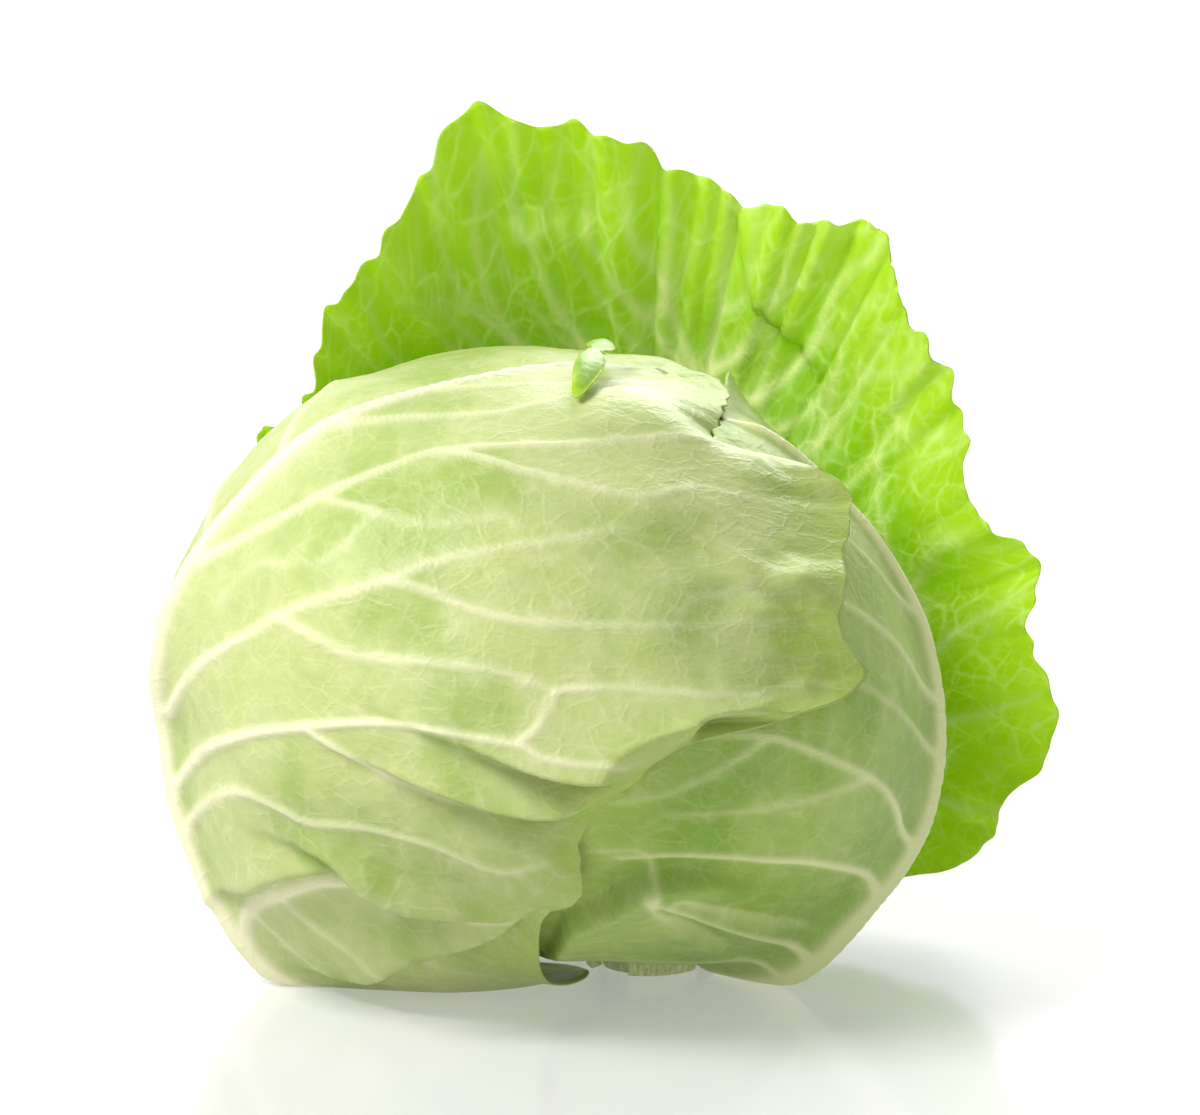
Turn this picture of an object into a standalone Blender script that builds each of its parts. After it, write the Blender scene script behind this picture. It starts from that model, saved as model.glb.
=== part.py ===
"""A flat-headed cabbage as picked: a tight head in its wrapper leaves, with one loose outer leaf behind it.

Z is up and the floor is at zero. The origin is the middle of the stalk's cut face, and the side that faces -Y
is the front. Lengths below are in millimetres and are turned to metres when a mesh is made.
"""
import math

import bpy
import numpy as np

MM = 0.001

# The head is an egg-shaped form, flatter below than above, that leans towards +X.
CENTRE = np.array([-26.0, 0.0, 77.0])
GIRTH = 97.0
CROWN_HEIGHT = 81.0
UNDER_DEPTH = 62.0
LEAN = math.radians(18)

# The stalk was cut square, and the head stands on the cut. Outer leaves were cut off with it, and the feet of three
# of them stay round it: their middles in degrees from +X, their height above the floor and how wide they are.
STALK_RADIUS = 12.5
STALK_CUT_RADIUS = 11.5
STALK_TOP = 10.3
STUB_GAP = 0.5
STUB_THICKNESS = 3.0
STUB_BOTTOM = 1.2
STUB_FLARE = 1.2
STUBS = {"leaf_stub_front": (-70, 6.0, 75), "leaf_stub_left": (178, 5.0, 60), "leaf_stub_back": (62, 5.5, 70)}

# Leaves are laid out flat on a ball of this radius, then drawn over the head.
FLAT_BALL = 100.0

# Axes of the leaning form, as rows: across it, towards the front and up to its crown.
AXES = np.array([
    [math.cos(LEAN), 0, -math.sin(LEAN)],
    [0, -1, 0],
    [math.sin(LEAN), 0, math.cos(LEAN)],
])

# A leaf that reaches the floor lies flat on it. Its inner face stays this high, and bends over this many millimetres.
REST_HEIGHT = 1.4
REST_BEND = 1.2

# How far each layer lies above the heart, and how thick a leaf is.
INNER_BACK_LAYER = 0.5
INNER_FRONT_LAYER = 1.6
RIGHT_LAYER = 3.0
FRONT_LAYER = 5.4
LOOSE_LAYER = 10.5
INNER_LEAF = 0.7
WRAPPER_LEAF = 1.2
LOOSE_LEAF = 1.2

# Each outline goes round its leaf from the stalk end, seen from outside the head, by way of its right side.
# A stop holds the angle in degrees, the reach from the leaf's middle and the height of the rim above the heart.
FRONT_OUTLINE = [
    (0, 172, 4.6), (7, 166, 5.4), (18, 146, 8.0), (30, 131, 10.0), (42, 123, 10.0), (52, 125, 12.0), (64, 120, 10.0),
    (77, 127, 9.0), (87, 139, 10.0), (92, 161, 12.0), (97, 181, 13.0), (107, 181, 12.0), (120, 188, 12.0),
    (134, 192, 10.0), (143, 168, 7.0), (154, 176, 6.0), (165, 186, 8.0), (178, 172, 7.0), (200, 158, 7.0),
    (225, 155, 6.0), (250, 160, 6.0), (275, 165, 6.0), (300, 160, 7.0), (320, 150, 9.0), (338, 142, 14.0),
    (350, 160, 7.0),
]
RIGHT_OUTLINE = [
    (0, 80, 3.0), (18, 86, 4.0), (40, 108, 7.0), (65, 130, 6.0), (90, 150, 4.0), (120, 160, 3.5), (145, 152, 6.0),
    (158, 152, 9.0), (169, 148, 5.0), (182, 142, 4.0), (205, 140, 3.5), (235, 138, 3.0), (265, 134, 3.0),
    (288, 132, 4.0), (303, 128, 6.0), (316, 128, 6.0), (328, 116, 5.0), (345, 96, 4.0),
]
LOOSE_OUTLINE = [
    (0, 119, 7.0), (12, 110, 8.0), (32, 102, 14.0), (55, 112, 19.0), (80, 118, 21.0), (105, 122, 20.0),
    (130, 128, 18.0), (150, 144, 22.0), (158, 142, 39.0), (166, 137, 56.0), (174, 132, 72.0), (183, 128, 84.0),
    (190, 120, 76.0), (197, 112, 71.0), (205, 112, 76.0), (213, 112, 79.0), (222, 113, 72.0), (231, 113, 58.0),
    (242, 113, 47.0), (255, 114, 42.0), (268, 116, 42.0), (281, 117, 43.0), (290, 111, 39.0), (301, 106, 35.0),
    (312, 99, 27.0), (326, 96, 16.0), (346, 108, 8.5),
]
# A torn strip of leaf lies on the crown.
STRIP_OUTLINE = [(30, 3.5, 7.7), (85, 7, 7.7), (120, 18, 7.7), (155, 7, 7.7), (210, 3.5, 7.7), (265, 7, 7.7),
                 (300, 20, 7.7), (335, 7, 7.7)]
STRIP_LAYER = 7.7
STRIP_THICKNESS = 0.8
STRIP_FACING = (-28, 76)
INNER_FRONT_OUTLINE = [(0, 70, 1.6), (90, 62, 1.6), (180, 66, 1.6), (270, 74, 1.6)]
INNER_BACK_OUTLINE = [(0, 74, 0.5), (90, 66, 0.5), (180, 70, 0.5), (270, 64, 0.5)]


# --- Leaves drawn over the head -------------------------------------------------------------------------------------

def unit(around, above):
    """The direction from the head's middle that is this far round from the front and above its girth."""
    around, above = math.radians(around), math.radians(above)
    return np.array([math.cos(above) * math.sin(around), math.cos(above) * math.cos(around), math.sin(above)])


def head_point(direction, lift):
    """The point that stands lift above the heart's surface in each direction."""
    depth = np.where(direction[..., 2] > 0, CROWN_HEIGHT, UNDER_DEPTH)
    girth = np.full_like(depth, GIRTH)
    size = np.stack([girth, girth, depth], -1)
    outwards = direction / size
    outwards /= np.linalg.norm(outwards, axis=-1, keepdims=True)
    return CENTRE + (direction * size + outwards * lift[..., None]) @ AXES


def stalk_direction():
    """The direction in which the stalk meets the heart."""
    towards = AXES @ -CENTRE / np.array([GIRTH, GIRTH, UNDER_DEPTH])
    return towards / np.linalg.norm(towards)


def over_head(x, y, lift, facing):
    """Draws a leaf's flat places over the head. The leaf's middle faces that way, and its stalk end points down."""
    middle = unit(*facing)
    stalk = stalk_direction()
    upwards = middle * (middle @ stalk) - stalk
    upwards /= np.linalg.norm(upwards)
    rightwards = np.cross(middle, upwards)
    reach = np.maximum(np.hypot(x, y), 1e-9)
    along = x[..., None] / reach[..., None] * rightwards + y[..., None] / reach[..., None] * upwards
    turn = (reach / FLAT_BALL)[..., None]
    return head_point(np.cos(turn) * middle + np.sin(turn) * along, lift)


def settle(points):
    """Lets no point sink below the resting height: what would sink spreads flat there, with a soft bend round it."""
    height = points[:, 2] - REST_HEIGHT
    points[:, 2] = REST_HEIGHT + REST_BEND * np.logaddexp(0, height / REST_BEND)
    return points


def round_the_rim(stops, column, angle):
    """Reads one column of an outline at any angle, on a smooth closed curve through its stops."""
    angles = np.array([stop[0] for stop in stops], float)
    values = np.array([stop[column] for stop in stops], float)
    angles = np.concatenate([angles[-2:] - 360, angles, angles[:2] + 360])
    values = np.concatenate([values[-2:], values, values[:2]])
    slopes = np.gradient(values, angles)
    angle = np.mod(angle, 360)
    left = np.clip(np.searchsorted(angles, angle, side="right") - 1, 0, len(angles) - 2)
    step = angles[left + 1] - angles[left]
    t = (angle - angles[left]) / step
    return (
        (1 + 2 * t) * (1 - t) ** 2 * values[left]
        + t * (1 - t) ** 2 * step * slopes[left]
        + t * t * (3 - 2 * t) * values[left + 1]
        + t * t * (t - 1) * step * slopes[left + 1]
    )


def draw_leaf(square, outline, layer, facing, hug=4.0, swells=(), ruffles=()):
    """Turns a square sheet into a leaf: a disc, stretched to its outline and drawn over the head.

    hug says how close to its rim the leaf stays on the head. Each swell is a place (x, y), a radius and a height;
    each ruffle is a number of waves round the rim, their start in degrees and their height. The rim is free to ruffle
    at the tip, and held at the stalk.
    """
    x = square[:, 0] * np.sqrt(1 - square[:, 1] ** 2 / 2)
    y = square[:, 1] * np.sqrt(1 - square[:, 0] ** 2 / 2)
    share = np.hypot(x, y)
    angle = np.degrees(np.arctan2(x, -y))
    reach = share * round_the_rim(outline, 1, angle)
    flat_x = reach * np.sin(np.radians(angle))
    flat_y = -reach * np.cos(np.radians(angle))
    lift = layer + (round_the_rim(outline, 2, angle) - layer) * share ** hug
    for swell_x, swell_y, radius, height in swells:
        lift += height * np.exp(-((flat_x - swell_x) ** 2 + (flat_y - swell_y) ** 2) / radius ** 2)
    free = share ** 6 * (1 - np.cos(np.radians(angle))) / 2
    for waves, start, height in ruffles:
        lift += height * free * np.sin(np.radians(waves * angle + start))
    return settle(over_head(flat_x, flat_y, lift, facing))


# --- Objects --------------------------------------------------------------------------------------------------------

def make_collection(name):
    collection = bpy.data.collections.new(name)
    bpy.context.scene.collection.children.link(collection)
    return collection


def finish(name, colour, roughness):
    """A plain Principled material."""
    material = bpy.data.materials.new(name)
    material.use_nodes = True
    shader = material.node_tree.nodes["Principled BSDF"]
    shader.inputs["Base Color"].default_value = (*colour, 1)
    shader.inputs["Roughness"].default_value = roughness
    shader.inputs["Metallic"].default_value = 0
    return material


def keep(obj, name, material, collection):
    """Names an object that a tool has just made, gives it its material and puts it with the parts."""
    obj.name = name
    obj.data.name = name
    obj.data.materials.append(material)
    for other in list(obj.users_collection):
        other.objects.unlink(obj)
    collection.objects.link(obj)
    obj.data.shade_smooth()
    return obj


def leaf_object(name, squares, thickness, material, collection, **shape):
    """A leaf as a grid of squares drawn over the head, thickened outwards."""
    bpy.ops.mesh.primitive_grid_add(x_subdivisions=squares, y_subdivisions=squares, size=2)
    obj = bpy.context.object
    flat = np.array([vertex.co for vertex in obj.data.vertices])
    for vertex, place in zip(obj.data.vertices, draw_leaf(flat, **shape)):
        vertex.co = place * MM
    shell = obj.modifiers.new("thickness", "SOLIDIFY")
    shell.thickness = thickness * MM
    shell.offset = 1
    shell.use_even_offset = False
    return keep(obj, name, material, collection)


def leaf_stub(name, middle, top, spread, material, collection):
    """The foot of a leaf that was cut off: a short curved plate that hugs the stalk and flares upwards."""
    bpy.ops.mesh.primitive_grid_add(x_subdivisions=10, y_subdivisions=3, size=2)
    obj = bpy.context.object
    for vertex in obj.data.vertices:
        turn = math.radians(middle + vertex.co.x * spread / 2)
        rise = (vertex.co.y + 1) / 2
        radius = STALK_RADIUS + STUB_GAP + STUB_FLARE * rise
        height = STUB_BOTTOM + (top - STUB_BOTTOM) * rise
        vertex.co = np.array([radius * math.cos(turn), radius * math.sin(turn), height]) * MM
    shell = obj.modifiers.new("thickness", "SOLIDIFY")
    shell.thickness = STUB_THICKNESS * MM
    shell.offset = 1
    return keep(obj, name, material, collection)


def main():
    for obj in list(bpy.data.objects):
        bpy.data.objects.remove(obj, do_unlink=True)
    parts = make_collection("cabbage_head")

    waxy = finish("waxy_leaf", (0.46, 0.60, 0.24), 0.5)
    bright = finish("bright_leaf", (0.36, 0.66, 0.04), 0.5)
    pale = finish("inner_leaf", (0.62, 0.72, 0.36), 0.5)
    stalk = finish("stalk", (0.70, 0.74, 0.50), 0.6)

    bpy.ops.mesh.primitive_uv_sphere_add(segments=32, ring_count=18, radius=1)
    heart = keep(bpy.context.object, "heart", pale, parts)
    ball = np.array([vertex.co for vertex in heart.data.vertices])
    ball = ball * [1, -1, 1]
    for vertex, place in zip(heart.data.vertices, head_point(ball, np.zeros(len(ball)))):
        vertex.co = place * MM

    bpy.ops.mesh.primitive_cone_add(
        vertices=32, radius1=STALK_CUT_RADIUS * MM, radius2=STALK_RADIUS * MM, depth=STALK_TOP * MM,
        location=(0, 0, STALK_TOP * MM / 2),
    )
    keep(bpy.context.object, "stalk", stalk, parts)

    for name, (middle, top, spread) in STUBS.items():
        leaf_stub(name, middle, top, spread, stalk, parts)

    leaf_object("inner_leaf_back", 12, INNER_LEAF, pale, parts, outline=INNER_BACK_OUTLINE,
                layer=INNER_BACK_LAYER, facing=(150, 62))
    leaf_object("inner_leaf_front", 12, INNER_LEAF, pale, parts, outline=INNER_FRONT_OUTLINE,
                layer=INNER_FRONT_LAYER, facing=(40, 55))
    leaf_object("wrapper_leaf_right", 22, WRAPPER_LEAF, waxy, parts, outline=RIGHT_OUTLINE,
                layer=RIGHT_LAYER, facing=(78, -5), swells=[(-12, -58, 30, 6)])
    leaf_object("wrapper_leaf_front", 26, WRAPPER_LEAF, waxy, parts, outline=FRONT_OUTLINE,
                layer=FRONT_LAYER, facing=(-60, -5), hug=5, swells=[(-25, -112, 55, 26), (-85, -130, 32, 14)])
    leaf_object("loose_leaf", 28, LOOSE_LEAF, bright, parts, outline=LOOSE_OUTLINE, layer=LOOSE_LAYER,
                facing=(165, -5), hug=2.6, ruffles=[(17, 0, 4), (11, 60, 3)])
    leaf_object("torn_leaf_strip", 6, STRIP_THICKNESS, bright, parts, outline=STRIP_OUTLINE, layer=STRIP_LAYER,
                facing=STRIP_FACING)


main()
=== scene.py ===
# %% [markdown]
# # A cabbage head
# A head of cabbage is a ball of leaves that never opened. Two broad wrapper leaves hug it, and
# one outer leaf has come loose and stands up behind it like a collar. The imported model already
# holds every piece as a plain solid, at its right size and place. This lesson loads that model
# and puts the real look around it: ribs and veins that are raised in the leaf itself, frilled
# rims, pleats, a waxy bloom and light that shines through the thin leaf.

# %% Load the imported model
import math
import bmesh
import bpy
import numpy as np
from mathutils.kdtree import KDTree
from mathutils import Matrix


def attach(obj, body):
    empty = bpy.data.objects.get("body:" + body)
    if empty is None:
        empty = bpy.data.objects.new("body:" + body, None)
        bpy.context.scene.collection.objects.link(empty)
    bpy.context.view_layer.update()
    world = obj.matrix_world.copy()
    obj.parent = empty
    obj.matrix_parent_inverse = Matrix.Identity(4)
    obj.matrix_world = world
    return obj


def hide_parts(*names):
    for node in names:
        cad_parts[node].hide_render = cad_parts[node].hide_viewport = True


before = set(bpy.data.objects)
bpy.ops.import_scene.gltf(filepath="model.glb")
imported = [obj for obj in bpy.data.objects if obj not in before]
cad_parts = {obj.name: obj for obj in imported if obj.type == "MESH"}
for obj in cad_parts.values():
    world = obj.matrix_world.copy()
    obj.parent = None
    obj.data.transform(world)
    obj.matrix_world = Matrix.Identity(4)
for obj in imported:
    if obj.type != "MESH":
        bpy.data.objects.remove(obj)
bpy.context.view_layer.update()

print("nodes:", sorted(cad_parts))

# %% [markdown]
# ## Camera
# A long lens keeps the head's round form calm, without swollen near parts. The camera stands a
# little above the head and looks down on it by eight degrees, low enough to see under the belly
# of the head to its stalk.

# %% Camera
CAMERA_PLACE = (-0.01215, -0.9255, 0.2406)
CAMERA_LOOKS_DOWN = 8
CAMERA_LENS = 105.56

camera_data = bpy.data.cameras.new("camera")
camera_data.lens = CAMERA_LENS
camera_data.sensor_width = 36
camera = bpy.data.objects.new("camera", camera_data)
camera.location = CAMERA_PLACE
camera.rotation_euler = (math.radians(90 - CAMERA_LOOKS_DOWN), 0, 0)
bpy.context.scene.collection.objects.link(camera)
bpy.context.scene.camera = camera
print("the lens sees", round(math.degrees(camera_data.angle), 1), "degrees across")

# %% [markdown]
# ## The form of the head
# All leaves are drawn over one leaning egg-shaped form. A leaf is first laid out flat, in
# millimetres, with its stalk end pointing down, and then wrapped over the form at some height
# above it. These are the same measures that the solids have, so each leaf here lies where its
# solid is.

# %% The form, and how flat places are drawn over it
MM = 0.001
CENTRE = np.array([-26.0, 0.0, 77.0])
GIRTH = 97.0
CROWN_HEIGHT = 81.0
UNDER_DEPTH = 62.0
LEAN = math.radians(18)
FLAT_BALL = 100.0
AXES = np.array([
    [math.cos(LEAN), 0, -math.sin(LEAN)],
    [0, -1, 0],
    [math.sin(LEAN), 0, math.cos(LEAN)],
])


def unit(around, above):
    """The direction this many degrees round from the front and above the girth."""
    around, above = math.radians(around), math.radians(above)
    return np.array([math.cos(above) * math.sin(around), math.cos(above) * math.cos(around), math.sin(above)])


def head_point(direction, lift):
    """The point that stands lift millimetres above the form in each direction."""
    depth = np.where(direction[..., 2] > 0, CROWN_HEIGHT, UNDER_DEPTH)
    girth = np.full_like(depth, GIRTH)
    size = np.stack([girth, girth, depth], -1)
    outwards = direction / size
    outwards /= np.linalg.norm(outwards, axis=-1, keepdims=True)
    return CENTRE + (direction * size + outwards * lift[..., None]) @ AXES


def over_head(x, y, lift, facing):
    """Draws flat places of a leaf over the form."""
    middle = unit(*facing)
    stalk = AXES @ -CENTRE / np.array([GIRTH, GIRTH, UNDER_DEPTH])
    stalk /= np.linalg.norm(stalk)
    upwards = middle * (middle @ stalk) - stalk
    upwards /= np.linalg.norm(upwards)
    rightwards = np.cross(middle, upwards)
    reach = np.maximum(np.hypot(x, y), 1e-9)
    along = x[..., None] / reach[..., None] * rightwards + y[..., None] / reach[..., None] * upwards
    turn = (reach / FLAT_BALL)[..., None]
    return head_point(np.cos(turn) * middle + np.sin(turn) * along, lift)


def round_the_rim(stops, column, angle):
    """Reads one column of an outline at any angle, on a smooth closed curve through its stops."""
    angles = np.array([stop[0] for stop in stops], float)
    values = np.array([stop[column] for stop in stops], float)
    angles = np.concatenate([angles[-2:] - 360, angles, angles[:2] + 360])
    values = np.concatenate([values[-2:], values, values[:2]])
    slopes = np.gradient(values, angles)
    angle = np.mod(angle, 360)
    left = np.clip(np.searchsorted(angles, angle, side="right") - 1, 0, len(angles) - 2)
    step = angles[left + 1] - angles[left]
    t = (angle - angles[left]) / step
    return (
        (1 + 2 * t) * (1 - t) ** 2 * values[left]
        + t * (1 - t) ** 2 * step * slopes[left]
        + t * t * (3 - 2 * t) * values[left + 1]
        + t * t * (t - 1) * step * slopes[left + 1]
    )


print("the head is", 2 * GIRTH, "mm wide and", CROWN_HEIGHT + UNDER_DEPTH, "mm deep")

# %% [markdown]
# ## Outlines
# A leaf's outline goes round its flat shape from the stalk end. Each stop is an angle in degrees,
# how far the rim reaches from the leaf's middle, how high it stands above the form, and how far
# it curls, in degrees: up where the number is above zero, and back towards the head where it is
# below.

# %% Outlines
FRONT_OUTLINE = [
    (0, 172, 4.6, 0), (7, 166, 5.4, 0), (18, 144, 8.0, 0), (30, 130, 8.0, -5), (42, 123, 8.0, -10),
    (52, 125, 11.0, -15), (64, 120, 9.0, -25), (77, 127, 8.0, -20), (87, 139, 9.0, 5), (92, 160, 9.0, 20),
    (97, 179, 8.5, 25), (107, 178, 8.0, 20), (120, 185, 8.0, 15), (134, 189, 8.0, 30), (143, 168, 7.0, -20),
    (154, 176, 6.0, 5), (165, 186, 7.0, 15), (178, 172, 7.0, 5), (200, 158, 7.0, 0), (225, 155, 6.0, 0),
    (250, 160, 6.0, 0), (275, 165, 6.0, 0), (300, 160, 7.0, 0), (320, 150, 9.0, 0), (338, 142, 14.0, 0),
    (350, 160, 7.0, 0),
]
RIGHT_OUTLINE = [
    (0, 80, 3.0, 0), (18, 86, 4.0, 0), (40, 108, 7.0, 0), (65, 130, 6.0, 0), (90, 150, 4.0, 0),
    (120, 160, 3.5, 0), (145, 152, 6.0, 0), (158, 152, 9.0, 30), (169, 148, 5.0, 0),
    (182, 142, 4.0, 0), (205, 140, 3.5, 0), (235, 138, 3.0, 0), (265, 134, 3.0, 0), (288, 132, 4.0, 0),
    (303, 130, 6.0, 0), (316, 134, 6.0, 0), (327, 133, 5.0, 0), (338, 126, 4.5, 0), (349, 104, 4.0, 0),
]
LOOSE_OUTLINE = [
    (0, 119, 7.0, 0), (12, 110, 8.0, 0), (32, 102, 14.0, 0), (55, 112, 19.0, 0), (80, 118, 21.0, 0),
    (105, 122, 20.0, 0), (130, 128, 18.0, 0), (150, 144, 22.0, 0), (158, 142, 39.0, 0), (166, 137, 56.0, 0),
    (174, 132, 72.0, 0), (183, 128, 84.0, 0), (190, 120, 76.0, 0), (197, 112, 71.0, 0), (205, 112, 76.0, 0),
    (213, 112, 79.0, 0), (222, 113, 72.0, 0), (231, 113, 58.0, 0), (242, 113, 47.0, 0), (255, 114, 42.0, 0),
    (268, 116, 42.0, 0), (281, 117, 43.0, 0), (290, 111, 39.0, 0), (301, 106, 35.0, 0), (312, 99, 27.0, 0),
    (326, 96, 16.0, 0), (346, 108, 8.5, 0),
]
STRIP_OUTLINE = [
    (30, 2.4, 11.5, 0), (85, 5, 11.5, 0), (112, 16, 10.5, 0), (120, 21, 10.0, 0), (128, 16, 10.5, 0),
    (155, 5, 11.5, 0), (210, 2.4, 11.5, 0), (265, 5, 11.5, 0), (292, 18, 10.5, 0), (300, 26, 9.5, 0),
    (308, 18, 10.5, 0), (335, 5, 11.5, 0),
]
INNER_FRONT_OUTLINE = [(0, 70, 1.6, 0), (90, 62, 1.6, 0), (180, 66, 1.6, 0), (270, 74, 1.6, 0)]
INNER_BACK_OUTLINE = [(0, 74, 0.5, 0), (90, 66, 0.5, 0), (180, 70, 0.5, 0), (270, 64, 0.5, 0)]

for title, outline in (("front", FRONT_OUTLINE), ("right", RIGHT_OUTLINE), ("loose", LOOSE_OUTLINE)):
    reaches = round_the_rim(outline, 1, np.arange(360.0))
    print(title, "leaf reaches", round(float(reaches.min())), "to", round(float(reaches.max())), "mm")

# %% [markdown]
# ## Veins that grow
# A cabbage leaf has a few thick ribs, and from them a net of ever finer veins spreads until no
# part of the blade is far from one. The ribs are listed one by one, because they give the leaf its
# character. The net could be drawn by hand, but it would take hundreds of strokes. Here it
# grows as it does in a real leaf: spots of blade that have no vein yet pull the nearest vein
# towards them, until each spot is served. The thickness of a vein then follows from how many
# finer veins it feeds.

# %% Growing the net
STEP = 2.0               # millimetres that a vein grows in one round
ROUNDS = 90
SERVED = 4.2             # a spot this close to a vein needs no other
PULL = 34.0              # how far a spot can pull a vein
SPOT_JITTER = 0.48       # share of the spacing
RIM_MARGIN = 1.5
KEEPS_COURSE = 0.45      # how much a vein holds to its own course, against one part of pull
WANDER = 0.12
CLOSEST = 0.8            # no new point this close to another
FINEST = 0.30            # half widths, in millimetres
WIDEST_GROWN = 1.1
THICKENING = 2.5         # a vein to this power is the sum of the veins it feeds
LINK_REACH = 7.5         # a vein's tip joins a neighbour this near, which closes the net
LINK_SHORTEST = 2.5
NEAR_KIN = 7
HALF_MAP = 200.0         # no leaf reaches further than this from its middle


def along_rib(points, spacing=STEP):
    """Even steps on a smooth curve through the points of a rib."""
    points = np.array(points, float)
    padded = np.vstack([2 * points[0] - points[1], points, 2 * points[-1] - points[-2]])
    fine = []
    for a, b, c, d in zip(padded, padded[1:], padded[2:], padded[3:]):
        for t in np.linspace(0, 1, 12, endpoint=False):
            fine.append(0.5 * (2 * b + (c - a) * t + (2 * a - 5 * b + 4 * c - d) * t ** 2
                               + (3 * b - a - 3 * c + d) * t ** 3))
    fine = np.vstack(fine + [points[-1]])
    length = np.concatenate([[0], np.cumsum(np.linalg.norm(np.diff(fine, axis=0), axis=1))])
    steps = np.linspace(0, length[-1], max(2, round(length[-1] / spacing) + 1))
    return np.stack([np.interp(steps, length, fine[:, 0]), np.interp(steps, length, fine[:, 1])], -1)


def find_places(points):
    """A search tree over flat points."""
    tree = KDTree(len(points))
    for number, (x, y) in enumerate(points):
        tree.insert((x, y, 0), number)
    tree.balance()
    return tree


def grow_veins(ribs, outline, spacing, seed):
    """Grows a leaf's net. Returns the vein points' places and half widths, and the pairs that are joined."""
    random = np.random.default_rng(seed)
    places, parents, widths = [], [], []
    for points, start_width, end_width in ribs:
        curve = along_rib(points)
        first = find_places(places).find((*curve[0], 0))[1] if places else -1
        for number, place in enumerate(curve):
            share = number / (len(curve) - 1)
            places.append(tuple(place))
            parents.append(first if number == 0 else len(places) - 2)
            widths.append(start_width + (end_width - start_width) * share ** 0.8)
    hand_drawn = len(places)

    side = np.arange(-HALF_MAP, HALF_MAP, spacing)
    spots = np.stack(np.meshgrid(side, side), -1).reshape(-1, 2)
    spots = spots + random.uniform(-SPOT_JITTER, SPOT_JITTER, spots.shape) * spacing
    rim = round_the_rim(outline, 1, np.degrees(np.arctan2(spots[:, 0], -spots[:, 1])))
    spots = [tuple(spot) for spot in spots[np.hypot(spots[:, 0], spots[:, 1]) < rim - RIM_MARGIN]]
    for _ in range(ROUNDS):
        tree = find_places(places)
        pulls, left = {}, []
        for x, y in spots:
            (near_x, near_y, _), nearest, distance = tree.find((x, y, 0))
            if distance < SERVED:
                continue
            left.append((x, y))
            if distance < PULL:
                pull = pulls.setdefault(nearest, [0.0, 0.0])
                pull[0] += (x - near_x) / distance
                pull[1] += (y - near_y) / distance
        spots = left
        if not pulls:
            break
        for nearest, pull in pulls.items():
            here = np.array(places[nearest])
            before = np.array(places[parents[nearest]]) if parents[nearest] >= 0 else here
            onwards = here - before
            towards = np.array(pull) / max(np.hypot(*pull), 1e-6)
            towards = towards + KEEPS_COURSE * onwards / max(np.hypot(*onwards), 1e-6)
            towards = towards + random.normal(0, WANDER, 2)
            towards /= max(np.hypot(*towards), 1e-6)
            place = here + STEP * towards
            if tree.find((*place, 0))[2] > CLOSEST:
                places.append(tuple(place))
                parents.append(nearest)
                widths.append(0.0)

    has_child = np.zeros(len(places), bool)
    carried = np.zeros(len(places))
    for number in range(len(places) - 1, -1, -1):
        carried[number] = max(carried[number], FINEST ** THICKENING)
        widths[number] = max(widths[number], min(carried[number] ** (1 / THICKENING), WIDEST_GROWN))
        if parents[number] >= 0:
            carried[parents[number]] += carried[number]
            has_child[parents[number]] = True
    joined = [(number, parent) for number, parent in enumerate(parents) if parent >= 0]
    tree = find_places(places)
    for number in range(hand_drawn, len(places)):
        if has_child[number]:
            continue
        kin, older = {number}, number
        for _ in range(NEAR_KIN):
            older = parents[older]
            kin.add(older)
        for _, other, distance in tree.find_range((*places[number], 0), LINK_REACH):
            if other not in kin and parents[other] not in kin and distance > LINK_SHORTEST:
                joined.append((number, other))
                break
    return np.array(places), np.array(widths), joined


# %% [markdown]
# ## Relief maps
# The net is drawn into a flat map of the leaf, one cell for each half millimetre. One map says
# how high a vein stands out of the blade, another how pale it is. Wide soft swells and small
# puckers come from blurred noise. The same could be done with a displacement texture, but a map
# in plain numbers can be measured, and it bends the real mesh, so the relief is there from every
# side and in any other program.

# %% Relief maps
CELL = 0.5
CELLS = int(2 * HALF_MAP / CELL)
STROKE_STEP = 0.45       # millimetres between the dabs that draw a vein
HIGH_SOFTNESS = 0.5
VEIN_ROUNDNESS = 0.95
VEIN_EDGE, EDGE_FADE = 1.2, 0.65      # in half widths: where its paleness ends, and over what width it fades
PALE_LEAST, PALE_RISE = 0.18, 0.62    # the paleness of the finest vein, and its rise with the half width
PALE_GAIN = 1.15
SHOULDER, SHOULDER_WIDTH = 1.5, 5.0   # a rib stands on a wide low swelling
GROOVE_WIDTH = 1.5
NEAR_WIDTH = 4.0
# A vein between these half widths is drawn with dabs that reach this many cells.
DABS = ((0, 0.7, 3), (0.7, 1.5, 7), (1.5, 3.0, 13), (3.0, 9.0, 34))
PLEAT_DEPTH = 1.3
PLEAT_SOFTNESS = 0.9
PLEAT_SHAPE = 1.3
BEHIND_SHARE = 0.8       # how deep the blade drops behind a crest, against the height of the crest


def blur(field, radius):
    """Softens a map over this many millimetres."""
    waves = np.fft.fftfreq(CELLS, CELL)
    soft = np.exp(-2 * (math.pi * radius) ** 2 * (waves[:, None] ** 2 + waves[None, :] ** 2))
    return np.real(np.fft.ifft2(np.fft.fft2(field) * soft))


def soft_noise(radius, seed):
    """Smooth hills and hollows of this size, mostly between -1 and 1."""
    noise = blur(np.random.default_rng(seed).normal(size=(CELLS, CELLS)), radius)
    return noise / (2 * noise.std())


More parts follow.
